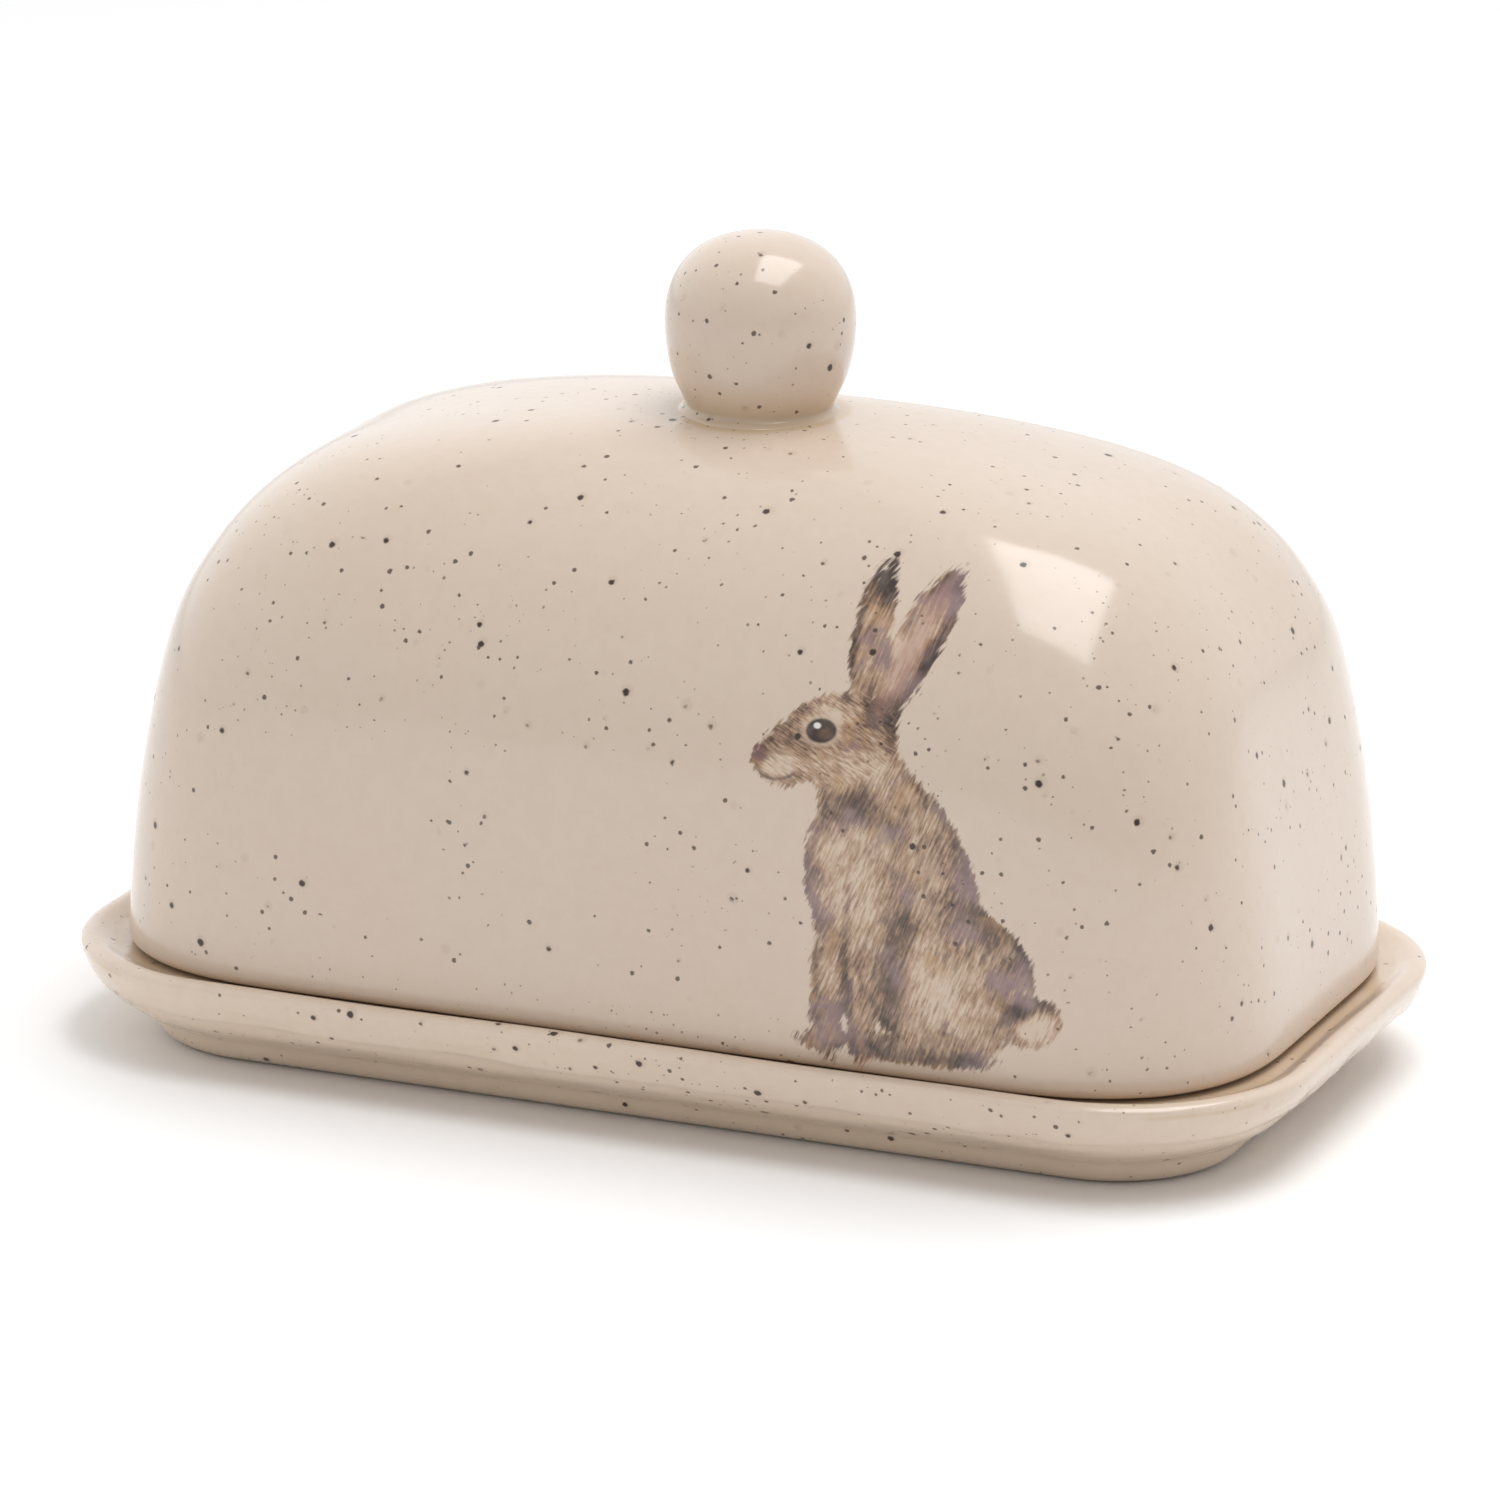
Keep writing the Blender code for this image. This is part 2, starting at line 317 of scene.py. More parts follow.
def close_and_smooth(piece):
    """Closes the open ring that is left, turns the faces outwards and smooths the form."""
    bpy.ops.object.mode_set(mode="EDIT")
    bpy.ops.mesh.select_all(action="SELECT")
    bpy.ops.mesh.remove_doubles(threshold=TINY)
    bpy.ops.mesh.select_all(action="DESELECT")
    bpy.ops.mesh.select_non_manifold()
    if picked():
        bpy.ops.mesh.edge_face_add()
    bpy.ops.mesh.select_all(action="SELECT")
    bpy.ops.mesh.normals_make_consistent(inside=False)
    bpy.ops.object.mode_set(mode="OBJECT")
    finish_modifier(piece, "SUBSURF", levels=2, render_levels=2, use_limit_surface=False)
    bpy.ops.object.shade_smooth()


def loft(name, rings, fullness):
    """A closed form through a row of rings, modelled as a quarter and mirrored both ways."""
    piece = start_quarter(name, rings[0], fullness)
    for old, new in zip(rings, rings[1:]):
        pull_ring(old, new)
    bpy.ops.object.mode_set(mode="OBJECT")
    finish_modifier(piece, "MIRROR", use_axis=(True, True, False), merge_threshold=TINY)
    close_and_smooth(piece)
    return piece


def wander(piece, group, reach, grain):
    """Lets a group of points wander in and out, as handled clay does."""
    clouds = bpy.data.textures.new(f"{piece.name}_{group}_hand", "CLOUDS")
    clouds.noise_scale = grain
    clouds.noise_depth = 1
    settings = {"texture": clouds, "texture_coords": "LOCAL", "strength": reach, "mid_level": 0.5}
    finish_modifier(piece, "DISPLACE", **settings, vertex_group=group)


def weigh(piece, group, weight):
    """A group of points whose weight is a function of the point's place."""
    made = piece.vertex_groups.new(name=group)
    for vert in piece.data.vertices:
        amount = weight(vert.co)
        if amount > 0:
            made.add([vert.index], min(amount, 1.0), "REPLACE")


def arc(centre, radius, start, end, steps=ARC_STEPS):
    """Points along an elliptical arc, from start to end in degrees."""
    points = []
    for step in range(steps + 1):
        turn = math.radians(start + (end - start) * step / steps)
        points.append((centre[0] + radius[0] * math.cos(turn), centre[1] + radius[1] * math.sin(turn)))
    return points


def rise(value, low, high):
    """0 below low, 1 above high, and a smooth step between them."""
    part = min(max((value - low) / (high - low), 0.0), 1.0)
    return part * part * (3 - 2 * part)


# ---------------------------------------------------------------- glaze


class Wash:
    """One socket in a material. Sums written with it add the Math nodes that work them out."""

    def __init__(self, tree, socket=None):
        self.tree = tree
        self.socket = socket

    def node(self, kind, settings=None, inputs=None, output=0):
        """Adds a node: its settings first, then the values or links of its sockets."""
        made = self.tree.nodes.new(kind)
        for name, value in (settings or {}).items():
            if name == "stops":
                while len(made.color_ramp.elements) < len(value):
                    made.color_ramp.elements.new(1.0)
                for element, (place, tone) in zip(made.color_ramp.elements, value):
                    element.position = place
                    element.color = tone
            else:
                setattr(made, name, value)
        for key, value in (inputs or {}).items():
            if isinstance(value, Wash):
                self.tree.links.new(value.socket, made.inputs[key])
            else:
                made.inputs[key].default_value = value
        return Wash(self.tree, made.outputs[output] if made.outputs else None)

    def math(self, operation, *values):
        return self.node("ShaderNodeMath", {"operation": operation}, dict(enumerate(values)))

    def __add__(self, other):
        return self.math("ADD", self, other)

    def __radd__(self, other):
        return self.math("ADD", other, self)

    def __sub__(self, other):
        return self.math("SUBTRACT", self, other)

    def __rsub__(self, other):
        return self.math("SUBTRACT", other, self)

    def __mul__(self, other):
        return self.math("MULTIPLY", self, other)

    def __rmul__(self, other):
        return self.math("MULTIPLY", other, self)

    def low(self, other, blend=0.0):
        return self.math("SMOOTH_MIN", self, other, blend) if blend else self.math("MINIMUM", self, other)

    def high(self, other):
        return self.math("MAXIMUM", self, other)

    def size(self):
        return self.math("ABSOLUTE", self)

    def far(self, other):
        """How far a point lies from an axis, from its offsets along two directions."""
        return self.math("SQRT", self * self + other * other)

    def fade(self, start, end, low=0.0, high=1.0):
        """low at start and high at end, with a smooth step between them."""
        inputs = {"Value": self, "From Min": start, "From Max": end, "To Min": low, "To Max": high}
        return self.node("ShaderNodeMapRange", {"interpolation_type": "SMOOTHSTEP"}, inputs)

    def mix(self, under, over):
        """Two colours, mixed by this share of the second."""
        settings = {"data_type": "RGBA", "blend_type": "MIX", "clamp_factor": True}
        return self.node("ShaderNodeMix", settings, {0: self, 6: under, 7: over}, output=2)

    def scaled(self, amount):
        return self.node("ShaderNodeVectorMath", {"operation": "SCALE"}, {0: self, "Scale": amount})

    def parts(self):
        split = self.node("ShaderNodeSeparateXYZ", None, {0: self}).socket.node
        return [Wash(self.tree, output) for output in split.outputs]

    def placed(self, centre, radii, turn=0.0):
        """This place seen from an oval: 1 away from its centre on its edge."""
        rotation = (0, 0, math.radians(turn))
        inputs = {0: self, "Location": (*centre, 0), "Rotation": rotation, "Scale": (*radii, 1)}
        return self.node("ShaderNodeMapping", {"vector_type": "TEXTURE"}, inputs)

    def oval(self, centre, radii, turn=0.0):
        """Distance outside an oval, in the units of this place."""
        seen = self.placed(centre, radii, turn)
        length = self.node("ShaderNodeVectorMath", {"operation": "LENGTH"}, {0: seen}, output=1)
        return (length - 1.0) * min(radii)

    def noise(self, grain, detail=2.0, roughness=0.5, warp=0.0):
        """Soft noise with grains of a size, in the units of this place."""
        inputs = {"Vector": self, "Scale": 1.0 / grain, "Detail": detail, "Roughness": roughness}
        return self.node("ShaderNodeTexNoise", {"normalize": True}, {**inputs, "Distortion": warp})

    def strokes(self, turn, across, along, detail=2.0):
        """Noise drawn out along one direction, as hair is."""
        return self.placed((0, 0), (across, along), turn).noise(1.0, detail, 0.6)


def specks(place, crowd, speck):
    """Burnt specks: one round grain to a cell, a part of them there, more where the glaze is crowded."""
    grain, radius, part, crowding = speck
    cells = place.node("ShaderNodeTexVoronoi", {"feature": "F1"}, {"Vector": place, "Scale": 1.0 / grain})
    near = cells * grain
    chance = Wash(place.tree, cells.socket.node.outputs["Color"]).parts()
    reach = (chance[0] * 0.75 + 0.45) * radius
    there = (chance[1] - part - crowd * crowding).fade(0.0, 0.02, 1.0, 0.0)
    return (near - reach).fade(-0.35 * radius, 0.25 * radius, 1.0, 0.0) * there


def start_glaze(name):
    """A new material's nodes: its tree wrapped as a Wash, and its shader."""
    material = bpy.data.materials.new(name)
    material.use_nodes = True
    tree = material.node_tree
    shader = tree.nodes["Principled BSDF"]
    shader.inputs["IOR"].default_value = 1.5
    shader.inputs["Coat Weight"].default_value = COAT
    shader.inputs["Coat Roughness"].default_value = 0.10
    return material, Wash(tree), shader


def speckled_glaze(name, warmer=None, picture=None, bare=None, cream=None):
    """The dish's glaze: the first mask says where it shows ochre, partly pooled glaze and partly painted warm
    shade and bounce light; picture what is painted, bare where clay shows.
    """
    look = bpy.context.scene.dish_glaze
    cream = tuple(cream or look.cream)
    material, wash, shader = start_glaze(name)
    place = wash.node("ShaderNodeTexCoord", None, None, output=3).scaled(1000.0)
    drift = place.noise(46.0, 1.0)
    body = (drift.fade(0.35, 0.7) * 0.5).mix(cream, tuple(look.rose))
    mottle = place.noise(2.2, 3.0, 0.6)
    body = mottle.fade(0.3, 0.75, 0.0, 0.10).mix(body, MOTTLE)
    # the ochre mixed in here is partly pooled glaze and partly painted warm shade and bounce light
    if warmer is not None:
        body = warmer(place).mix(body, tuple(look.ochre))
    if picture is not None:
        body = picture(place, body)
    crowd = place.noise(19.0, 2.0).fade(0.36, 0.68)
    ragged = place.node(
        "ShaderNodeVectorMath", {"operation": "ADD"}, {0: place, 1: place.noise(0.45, 2.0).scaled(0.34)}
    )
    big = specks(ragged, crowd, BIG_SPECK)
    small = specks(ragged, crowd, SMALL_SPECK)
    dust = specks(ragged, crowd, DUST_SPECK)
    burnt = big.high(small * 0.85).high(dust * 0.6)
    body = (specks(place, crowd, SPECK_HALO) * 0.16).mix(body, HALO)
    body = burnt.mix(body, tuple(look.iron))
    gloss = place.noise(7.0, 2.0).fade(0.2, 0.8, look.roughness - 0.02, look.roughness + 0.03) + burnt * 0.12
    coat = COAT - burnt * 0.2
    if bare is not None:
        naked = bare(place)
        clay = place.noise(0.6, 3.0, 0.7).fade(0.3, 0.8).mix(tuple(look.biscuit), DARK_CLAY)
        body = naked.mix(body, clay)
        gloss = gloss.high(naked * 0.75)
        coat = coat * (1.0 - naked)
    relief = place.noise(5.5, 2.0) * 0.7 + place.noise(0.9, 2.0) * 0.05 - burnt * 0.12
    bump = wash.node("ShaderNodeBump", None, {"Strength": 0.25, "Distance": 0.00025, "Height": relief})
    results = {"Base Color": body, "Roughness": gloss, "Coat Weight": coat, "Normal": bump}
    for socket, value in results.items():
        wash.tree.links.new(value.socket, shader.inputs[socket])
    return material


def paint_hare(place, ground):
    """A sitting hare brushed on the front: ground is the glaze under it. Its own sizes are in millimetres."""
    look = bpy.context.scene.dish_hare
    lid = bpy.context.scene.dish_lid
    along, across, up = place.parts()
    grown = look.height / MM / 76.0
    lean_back = (across + (lid.half_width + 0.0003) / MM).high(0.0) * 0.36
    u = (along - look.middle / MM) * (1.0 / grown)
    v = (up - (lid.lip + look.ground) / MM + lean_back) * (1.0 / grown)
    spot = place.node("ShaderNodeCombineXYZ", None, {0: u, 1: v})
    waver = spot.noise(3.2, 2.0)
    tuft = spot.strokes(-28, 0.55, 3.0)

    near_ear = spot.oval((0.5, 63.5), (3.9, 13.0), -16)
    far_ear = spot.oval((-6.5, 64.0), (3.1, 12.0), 3)
    head = spot.oval((-9.0, 47.5), (9.6, 7.0), 20).low(spot.oval((-16.5, 44.0), (5.6, 4.4), 30), 2.5)
    neck = spot.oval((-3.5, 38.5), (7.6, 9.5), 12)
    torso = spot.oval((1.5, 25.0), (12.5, 18.5), 12)
    haunch = spot.oval((9.0, 13.5), (13.5, 12.5), 0)
    chest = spot.oval((-6.5, 27.0), (6.6, 12.0), 4)
    foreleg = spot.oval((-9.0, 12.0), (3.0, 13.0), -3)
    off_leg = spot.oval((-4.6, 11.0), (2.7, 12.0), 2)
    paws = spot.oval((-10.5, 1.7), (4.2, 1.7), 0).low(spot.oval((3.5, 2.0), (13.5, 2.3), 0), 0.6)
    tail = spot.oval((22.3, 8.5), (4.6, 3.5), 35)
    ears = near_ear.low(far_ear)
    trunk = neck.low(torso, 3.0).low(chest, 2.0).low(haunch, 2.0)
    legs = foreleg.low(off_leg, 0.8).low(paws, 1.2)
    form = head.low(ears, 1.2).low(trunk, 2.5).low(legs, 1.5).low(tail, 0.8)
    edge = form + (waver - 0.5) * 1.3 + (tuft - 0.5) * 2.4
    inside = edge.fade(0.25, -0.35)
    out = across + (lid.half_width - lid.side_shoulder) / MM
    over = (up - (lid.lip + lid.height - lid.side_shoulder) / MM).high(0.0)
    outer_face = out.far(over).fade(lid.side_shoulder / MM - 2.5, lid.side_shoulder / MM - 1.0)
    front = across.fade(-20.0, -22.0) * outer_face

    blotch = spot.noise(7.5, 3.0, 0.6, 0.4)
    granules = spot.noise(0.8, 2.0)
    body_fur = spot.strokes(-22, 0.42, 3.4, 3.0)
    head_fur = spot.strokes(62, 0.36, 2.2, 3.0)
    ear_fur = spot.strokes(-12, 0.5, 6.0, 3.0)
    in_head = head.fade(0.8, -0.8)
    in_ears = ears.fade(0.5, -0.5) * (1.0 - in_head)
    fur = body_fur + (ear_fur - body_fur) * in_ears
    fur = fur + (head_fur - fur) * in_head

    depth = (blotch - 0.5) * 1.25 + (fur - 0.5) * 1.5 + (granules - 0.5) * 0.25 + 0.42
    lights = [
        (spot.oval((-5.5, 26.0), (4.4, 10.0), 6), 2.5, 0.28),      # chest
        (spot.oval((-7.5, 43.2), (5.2, 2.8), 15), 2.0, 0.30),      # cheek
        (spot.oval((-18.0, 42.2), (3.6, 1.8), 30), 1.2, 0.34),     # muzzle
        (spot.oval((8.0, 12.0), (8.0, 6.5), 0), 3.5, 0.22),        # middle of the haunch
        (spot.oval((23.5, 7.6), (3.4, 2.2), 35), 1.2, 0.55),       # underside of the tail
        (spot.oval((-0.3, 63.0), (1.7, 9.5), -16), 1.4, 0.30),     # inside of the near ear
        (spot.oval((-11.2, 50.3), (3.9, 1.7), 12), 1.0, 0.26),     # over the eye
    ]
    for shape, soft, amount in lights:
        depth = depth - shape.fade(soft, -soft) * amount
    shadows = [
        (spot.oval((17.5, 26.0), (5.0, 16.0), 24), 4.5, 0.26),     # back
        (spot.oval((1.0, 13.5), (2.2, 9.5), -8), 1.6, 0.40),       # between the foreleg and the haunch
        (spot.oval((-6.6, 12.0), (0.8, 10.5), -2), 0.8, 0.30),     # between the legs
        (spot.oval((-5.5, 37.0), (5.5, 2.6), 25), 1.8, 0.36),      # under the chin
        (spot.oval((6.0, 1.2), (14.0, 1.2), 0), 0.9, 0.30),        # sole
        (spot.oval((4.2, 74.0), (2.6, 4.4), -16), 1.3, 0.50),      # tip of the near ear
        (spot.oval((-6.2, 74.0), (2.2, 3.8), 3), 1.2, 0.50),       # tip of the far ear
        (spot.oval((3.4, 62.0), (1.0, 11.0), -17), 0.9, 0.36),     # back edge of the near ear
        (spot.oval((-9.0, 62.5), (0.7, 10.5), 3), 0.8, 0.30),      # front edge of the far ear
        (spot.oval((-2.5, 52.0), (3.0, 2.6), 0), 1.5, 0.28),       # root of the ears
        (spot.oval((20.8, 10.6), (3.8, 1.3), 35), 0.8, 0.40),      # top of the tail
    ]
    for shape, soft, amount in shadows:
        depth = depth + shape.fade(soft, -soft) * amount
    haunch_line = (haunch + (waver - 0.5) * 1.5).size().fade(0.9, 0.1) * u.fade(2.0, -6.0)
    haunch_line = haunch_line * v.fade(8.0, 13.0)
    pooled = (edge + 0.9).size().fade(0.9, 0.1)
    depth = depth + haunch_line * 0.25 + pooled * 0.13

    stops = [
        (0.0, tuple(look.cream)), (0.34, tuple(look.tan)), (0.66, tuple(look.umber)), (1.0, tuple(look.sepia))
    ]
    paint = depth.node("ShaderNodeValToRGB", {"stops": stops}, {0: depth})
    cool = spot.noise(9.0, 2.0).fade(0.48, 0.66) * depth.fade(0.2, 0.45) * 0.7
    paint = cool.mix(paint, tuple(look.mauve))
    warm = spot.noise(5.0, 2.0, 0.5, 0.5).fade(0.56, 0.72) * 0.45
    paint = warm.mix(paint, RUSSET)
    pink = spot.oval((-0.3, 62.0), (1.6, 10.0), -16).fade(1.2, -1.0) * 0.55
    paint = pink.mix(paint, EAR_PINK)
    eye = spot.oval((-11.6, 48.4), (2.2, 1.75), 8)
    paint = (eye.fade(1.1, 0.4) * 0.6).mix(paint, EYELID)
    paint = eye.fade(0.35, -0.1).mix(paint, PUPIL)
    paint = (spot.oval((-11.0, 47.9), (1.1, 0.8), 8).fade(0.5, -0.4) * 0.5).mix(paint, IRIS)
    paint = spot.oval((-12.3, 49.1), (0.5, 0.42), 0).fade(0.2, -0.1).mix(paint, GLINT)
    nose = spot.oval((-21.0, 44.0), (1.5, 1.1), -30).fade(0.5, -0.3)
    paint = (nose * 0.8).mix(paint, NOSE)
    mouth = spot.oval((-17.6, 43.0), (3.6, 2.6), 20).size().fade(0.45, 0.0) * v.fade(42.2, 41.0)
    paint = (mouth * 0.75).mix(paint, MOUTH)

    strength = inside * front * spot.noise(4.0, 3.0).fade(0.15, 0.55, 0.72, 0.97)
    return strength.mix(ground, paint)


# ---------------------------------------------------------------- pieces


def tray_rings(tray):
    """The tray's rings from the base outwards, over the rim and into the well."""
    seat_start = tray.rim_width + tray.inner_run
    seat_end = seat_start + tray.seat_width
    floor_height = tray.foot_recess + tray.floor
    crease = (tray.band_lean, tray.rim_edge - tray.band)
    wall_foot = (tray.foot_edge - tray.foot_round, tray.foot_round)
    section = [
        (tray.foot_edge + tray.foot_ring + 2.2 * tray.foot_recess, tray.foot_recess),
        (tray.foot_edge + tray.foot_ring + 0.9 * tray.foot_recess, tray.foot_recess * 0.85),
        (tray.foot_edge + tray.foot_ring, tray.foot_recess * 0.12),
        (tray.foot_edge + tray.foot_ring - 0.5 * MM, 0.0),
        (tray.foot_edge + 0.4 * tray.foot_ring, 0.0),
    ]
    section += arc((tray.foot_edge, tray.foot_round), (tray.foot_round, tray.foot_round), 270, 180)
    for part in (0.25, 0.5, 0.75):
        bow = 0.35 * MM * math.sin(math.pi * part)
        section.append(
            (
                wall_foot[0] + (crease[0] - wall_foot[0]) * part - bow,
                wall_foot[1] + (crease[1] - wall_foot[1]) * part - bow,
            )
        )
    section += [
        (crease[0] + 0.75 * MM, crease[1] - 0.42 * MM),
        (crease[0] + 0.10 * MM, crease[1] + 0.05 * MM),
        (crease[0] - 0.35 * MM, crease[1] + 0.70 * MM),
        (tray.band_lean * 0.40, crease[1] + tray.band * 0.45),
        (tray.band_lean * 0.10, crease[1] + tray.band * 0.80),
    ]
    section += arc((tray.rim_crest, tray.rim_edge), (tray.rim_crest, tray.rim_rise), 175, 60, CREST_STEPS)
    section += [
        (tray.rim_width, tray.seat + tray.inner_rise),
        ((tray.rim_width + seat_start) / 2, tray.seat + 0.4 * tray.inner_rise),
        (seat_start, tray.seat + 0.05 * MM),
        ((seat_start + seat_end) / 2, tray.seat),
        (seat_end - 0.4 * MM, tray.seat),
        (seat_end + 0.35 * MM, tray.seat - 0.35 * MM),
        (seat_end + tray.well_slope * 0.5, (tray.seat + floor_height) / 2),
        (seat_end + tray.well_slope - 0.4 * MM, floor_height + 0.5 * MM),
        (seat_end + tray.well_slope + 0.8 * MM, floor_height),
        (seat_end + tray.well_slope + 4.0 * MM, floor_height),
    ]
    rings = []
    for inset, height in section:
        corner = max(tray.corner - inset, tray.rim_width)
        rings.append(Ring(tray.length / 2 - inset, tray.width / 2 - inset, corner, height))
    return rings


def dome_reach(lid, height, half, draft, shoulder, crown, inset):
    """Half the dome's length or width at a height: a drafted wall, a shoulder arc, then the crown's arc."""
    along = (-math.sin(draft), math.cos(draft))
    start = (half - shoulder * math.cos(draft), -shoulder * math.sin(draft))
    crown_centre = lid.height - crown
    offset = (start[0], start[1] - crown_centre)
    middle = offset[0] * along[0] + offset[1] * along[1]
    outside = offset[0] ** 2 + offset[1] ** 2 - (crown - shoulder) ** 2
    run = math.sqrt(middle**2 - outside) - middle
    centre = (start[0] + run * along[0], start[1] + run * along[1])
    lean = math.atan2(centre[1] - crown_centre, centre[0])
    if height < centre[1] + (shoulder - inset) * math.sin(draft):
        reach = half - inset / math.cos(draft) - height * math.tan(draft)
    elif height < crown_centre + (crown - inset) * math.sin(lean):
        reach = centre[0] + math.sqrt((shoulder - inset) ** 2 - (height - centre[1]) ** 2)
    else:
        reach = math.sqrt((crown - inset) ** 2 - (height - crown_centre) ** 2)
    return reach + lid.swell * math.sin(math.pi * min(height / (lid.swell_share * lid.height), 1.0))


def dome_ring(lid, height, inset=0.0, above_lip=None):
    """The dome's ring at a height above the lip, on its outer face or inset from it."""
    ends = (lid.half_length, lid.end_draft, lid.end_shoulder, lid.end_crown)
    sides = (lid.half_width, lid.side_draft, lid.side_shoulder, lid.side_crown)
    reach_x = dome_reach(lid, height, *ends, inset)
    reach_y = dome_reach(lid, height, *sides, inset)
    level = height / (lid.height - inset)
    lip_roundness = lid.corner / lid.half_width
    roundness = lip_roundness + (lid.roundness - lip_roundness) * level**lid.rounding
    corner = roundness * min(reach_x, reach_y)
    return Ring(reach_x, reach_y, corner, lid.lip + (height if above_lip is None else above_lip))


def dome_rings(lid):
    """From the top of the crown down the outer face, round the lip and up the inner face."""
    rings = []
    for step in range(DOME_RINGS, 0, -1):
        level = min(math.sin(math.pi / 2 * step / DOME_RINGS), CROWN_CLOSE)
        rings.append(dome_ring(lid, lid.lip_round + (lid.height - lid.lip_round) * level))
    rounding = (lid.lip_round, lid.lip_round)
    for inset, height in arc(rounding, rounding, 180, 270):
        rings.append(dome_ring(lid, 0.0, inset, height))
    for inset, height in arc((lid.wall - lid.lip_round, lid.lip_round), rounding, 270, 360):
        rings.append(dome_ring(lid, 0.0, inset, height))
    inner_height = lid.height - lid.wall
    for step in range(1, INNER_RINGS + 1):
        level = min(math.sin(math.pi / 2 * step / INNER_RINGS), CROWN_CLOSE)
        rings.append(dome_ring(lid, lid.lip_round + (inner_height - lid.lip_round) * level, lid.wall))
    return rings


class BUTTERDISH_OT_tray(bpy.types.Operator):
    """Shapes the tray: foot ring, flared wall, rounded rim, seat and well"""

    bl_idname = "butterdish.tray"
    bl_label = "Tray"

    def execute(self, context):
        tray = context.scene.dish_tray
        piece = loft("butter_tray", tray_rings(tray), 2.0)
        crease = tray.rim_edge - tray.band

        def on_rim(co):
            return rise(co.z, 1.5 * MM, crease) * rise(outset(co, tray), -6 * MM, -4 * MM)

        def near_crease(co):
            near = 1 - rise(abs(co.z - crease), 0.8 * MM, 3.0 * MM)
            return near * rise(outset(co, tray), -6 * MM, -3 * MM)

        weigh(piece, "rim", on_rim)
        weigh(piece, "crease", near_crease)
        wander(piece, "rim", tray.wobble, 0.034)
        wander(piece, "crease", tray.wobble * 1.6, 0.011)
        piece.data.materials.append(
            speckled_glaze(
                "tray_speckled_glaze",
                warmer=lambda place: seat_and_foot_warm_shade(place, tray),
                bare=bare_foot,
                # the paler tray cream is painted light on the rim
                cream=context.scene.dish_glaze.lit_tray_cream,
            )
        )
        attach(piece, "tray")
        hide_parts("tray")
        return {"FINISHED"}


def outset(co, tray):
    """How far a point lies outside a box with the tray's length and width: below 0 inside it."""
    return max(abs(co.x) - tray.length / 2, abs(co.y) - tray.width / 2)


def seat_and_foot_warm_shade(place, tray):
    """Painted warm shade as ochre along the seat, in the gap round the lid's lip, and painted warm bounce
    light low on the foot wall.
    """
    along, across, up = place.parts()
    past_rim = (along.size() - (tray.length / 2 - tray.rim_width) / MM).high(
        across.size() - (tray.width / 2 - tray.rim_width) / MM
    )
    # painted warm shade along the seat, in the gap round the lid's lip
    seat = (up - tray.seat / MM).size().fade(0.5, 0.1) * past_rim.fade(0.3, -0.3) * 0.45
    # painted warm bounce light from the floor, low on the foot wall
    foot = up.fade(8.9, 6.5) * 0.18
    return seat.high(foot) * place.noise(8.0).fade(0.25, 0.6, 0.5, 1.0)


def bare_foot(place):
    """The wiped foot ring, bare where it stands on the table."""
    up = place.parts()[2]
    return (up + (place.noise(3.0) - 0.5) * 0.3).fade(0.30, 0.12)


class BUTTERDISH_OT_dome(bpy.types.Operator):
    """Shapes the lid's hollow dome and brushes the hare on its front"""

    bl_idname = "butterdish.dome"
    bl_label = "Lid dome"

    def execute(self, context):
        lid = context.scene.dish_lid
        piece = loft("lid_shell", dome_rings(lid), lid.fullness)
        weigh(piece, "faces", lambda co: rise(co.z, lid.lip + 2 * MM, lid.lip + 14 * MM))
        wander(piece, "faces", lid.wobble, 0.052)
        piece.data.materials.append(
            speckled_glaze(
                "lid_speckled_glaze",
                warmer=lambda place: lip_bounce_and_knob_ring(place, lid),
                picture=paint_hare,
                bare=lambda place: bare_lip(place, lid),
            )
        )
        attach(piece, "lid")
        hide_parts("lid_dome")
        return {"FINISHED"}


def lip_bounce_and_knob_ring(place, lid):
    """Painted warm bounce light as ochre along the lip, and ochre round the knob's foot that is partly pooled
    glaze and partly painted shade.
    """
    along, across, up = place.parts()
    # painted warm bounce light from the tray's rim, along the lip
    lip = up.fade(lid.lip / MM + 2.6, lid.lip / MM + 0.4) * 0.20
    # partly pooled glaze, partly painted shade in the crease round the knob's foot
    knob_ring_pool_and_shade = (along.far(across) - 11.7).size().fade(1.5, 0.2) * up.fade(86.0, 88.0) * 0.55
    return lip.high(knob_ring_pool_and_shade)


def bare_lip(place, lid):
    """The wiped lip, bare where it stands on the seat."""
    up = place.parts()[2]
    return (up + (place.noise(3.0) - 0.5) * 0.25).fade(lid.lip / MM + 0.28, lid.lip / MM + 0.12)


def knob_profile(knob):
    """Reach and height of each ring: the fillet, the side that swells to the widest line, the dome on top."""
    radius = knob.diameter / 2
    belly = knob.foot + knob.belly
    neck = knob.neck / 2
    taper = radius - neck
    bend = (knob.belly**2 + taper**2) / (2 * taper)
    profile = [
        (neck + 1.9 * knob.fillet, knob.foot - 0.9 * MM),
        (neck + 1.9 * knob.fillet, knob.foot - 0.45 * MM),
        (neck + 1.15 * knob.fillet, knob.foot - 0.10 * MM),
        (neck + 0.55 * knob.fillet, knob.foot + 0.22 * knob.fillet),
        (neck + 0.20 * knob.fillet, knob.foot + 0.65 * knob.fillet),
        (neck + 0.10 * knob.fillet, knob.foot + 1.30 * knob.fillet),
    ]
    for step in range(3, 9):
        drop = knob.belly * (1 - step / 9)
        profile.append((radius - bend + math.sqrt(bend**2 - drop**2), belly - drop))
    for step in range(KNOB_RINGS):
        turn = math.pi / 2 * step / KNOB_RINGS
        reach = radius * math.cos(turn) ** (2 / knob.fullness)
        profile.append((reach, belly + (knob.top - belly) * math.sin(turn) ** (2 / knob.fullness)))
    return profile


